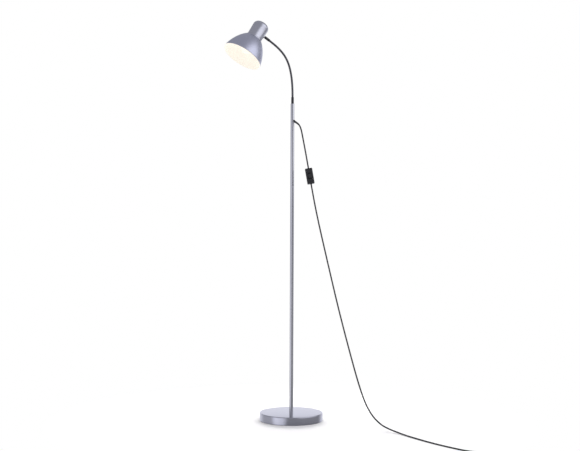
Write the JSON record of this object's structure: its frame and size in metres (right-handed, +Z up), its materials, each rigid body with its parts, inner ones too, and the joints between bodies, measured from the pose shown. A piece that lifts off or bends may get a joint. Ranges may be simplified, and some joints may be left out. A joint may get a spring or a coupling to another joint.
{
  "type": "floor lamp",
  "caption": "Reading floor lamp: round weighted base, slim pole, ribbed gooseneck that bends and a domed metal shade, with an inline rocker switch, cord and plug.",
  "frame": {"origin": "centre of the round base's underside, on the surface that the lamp stands on", "axes": "+Z up along the pole; the neck arches in the XZ plane and carries the shade towards -X"},
  "size_m": [0.5527, 1.0322, 1.4449],
  "materials": {
    "satin_metal": "satin",
    "ballast": "matte",
    "pad": "matte",
    "hardware": "zinc plated",
    "dark_metal": "satin",
    "neck_metal": "dark chrome",
    "bright_metal": "bright",
    "shade_metal": "satin lacquer",
    "holder_plastic": "satin",
    "core_ceramic": "glazed",
    "contact_metal": "plain",
    "bulb_metal": "plain",
    "bulb_glass": "frosted",
    "cord_plastic": "matte",
    "switch_plastic": "satin"
  },
  "bodies": {
    "stand": {"base_cover": "satin_metal", "base_weight": "ballast", "base_pad": "pad", "base_washer": "hardware", "base_nut": "hardware", "foot_stud": "hardware", "pole_lower": "satin_metal", "pole_middle": "satin_metal", "pole_upper": "satin_metal", "pole_coupler_lower": "hardware", "pole_coupler_upper": "hardware", "pole_foot_plug": "hardware", "pole_top_plug": "hardware", "neck_ferrule_lower": "dark_metal", "neck_stub_lower": "neck_metal", "cord_gland": "cord_plastic", "inner_cable": "cord_plastic", "cord_upper": "cord_plastic", "cord_lower": "cord_plastic", "switch_screws": "hardware", "switch_shell_front": "switch_plastic", "switch_shell_back": "switch_plastic", "rocker_pin": "hardware", "switch_contacts": "contact_metal", "plug_relief": "cord_plastic", "plug_body": "switch_plastic", "plug_pins": "contact_metal"},
    "neck_1": {"neck_link_1": "neck_metal"},
    "neck_2": {"neck_link_2": "neck_metal"},
    "neck_3": {"neck_link_3": "neck_metal"},
    "neck_4": {"neck_link_4": "neck_metal"},
    "neck_5": {"neck_link_5": "neck_metal"},
    "neck_6": {"neck_link_6": "neck_metal"},
    "neck_7": {"neck_link_7": "neck_metal"},
    "neck_8": {"neck_link_8": "neck_metal"},
    "neck_9": {"neck_link_9": "neck_metal"},
    "head": {"neck_stub_upper": "neck_metal", "neck_ferrule_upper": "dark_metal", "head_cap": "shade_metal", "neck_ring": "bright_metal", "neck_locknut": "hardware", "crown_nut": "bright_metal", "holder_nipple": "hardware", "shade": "shade_metal", "shade_collar": "shade_metal", "shade_ring": "holder_plastic", "holder_shell": "holder_plastic", "holder_cap": "holder_plastic", "holder_core": "core_ceramic", "screw_shell": "contact_metal", "centre_contact": "contact_metal", "holder_terminals": "contact_metal", "bulb_contact": "contact_metal", "bulb_cap": "bulb_metal", "bulb_glass": "bulb_glass"},
    "rocker": {"switch_rocker": "switch_plastic"}
  },
  "joints": [
    {"name": "neck_bend_1", "type": "hinge", "parent": "stand", "child": "neck_1", "pos_m": [0, 0, 1.193], "axis": [0, -1, 0], "range_deg": [-12, 12], "deforming": ["inner_cable"]},
    {"name": "neck_sway_1", "type": "hinge", "parent": "neck_1", "child": "neck_2", "pos_m": [-0.00086, 0, 1.21548], "axis": [0.9981, 0, 0.061], "range_deg": [-12, 12], "deforming": ["inner_cable"]},
    {"name": "neck_bend_2", "type": "hinge", "parent": "neck_2", "child": "neck_3", "pos_m": [-0.00275, 0, 1.23791], "axis": [0, -1, 0], "range_deg": [-12, 12], "deforming": ["inner_cable"]},
    {"name": "neck_sway_2", "type": "hinge", "parent": "neck_3", "child": "neck_4", "pos_m": [-0.00596, 0, 1.26017], "axis": [0.9828, 0, 0.1848], "range_deg": [-12, 12], "deforming": ["inner_cable"]},
    {"name": "neck_bend_3", "type": "hinge", "parent": "neck_4", "child": "neck_5", "pos_m": [-0.01106, 0, 1.28209], "axis": [0, -1, 0], "range_deg": [-12, 12], "deforming": ["inner_cable"]},
    {"name": "neck_sway_3", "type": "hinge", "parent": "neck_5", "child": "neck_6", "pos_m": [-0.01871, 0, 1.30324], "axis": [0.91, 0, 0.4147], "range_deg": [-12, 12], "deforming": ["inner_cable"]},
    {"name": "neck_bend_4", "type": "hinge", "parent": "neck_6", "child": "neck_7", "pos_m": [-0.02966, 0, 1.3229], "axis": [0, -1, 0], "range_deg": [-12, 12], "deforming": ["inner_cable"]},
    {"name": "neck_sway_4", "type": "hinge", "parent": "neck_7", "child": "neck_8", "pos_m": [-0.0443, 0, 1.33999], "axis": [0.7034, 0, 0.7108], "range_deg": [-12, 12], "deforming": ["inner_cable"]},
    {"name": "neck_bend_5", "type": "hinge", "parent": "neck_8", "child": "neck_9", "pos_m": [-0.06153, 0, 1.35445], "axis": [0, -1, 0], "range_deg": [-12, 12], "deforming": ["inner_cable"]},
    {"name": "neck_sway_5", "type": "hinge", "parent": "neck_9", "child": "head", "pos_m": [-0.07997, 0, 1.36736], "axis": [0.541, 0, 0.841], "range_deg": [-12, 12], "deforming": ["inner_cable"]},
    {"name": "rocker_tip", "type": "hinge", "parent": "stand", "child": "rocker", "pos_m": [0.03367, -0.06856, 0.8902], "axis": [0.853, -0.4925, 0.1725], "range_deg": [0, 14]}
  ]
}
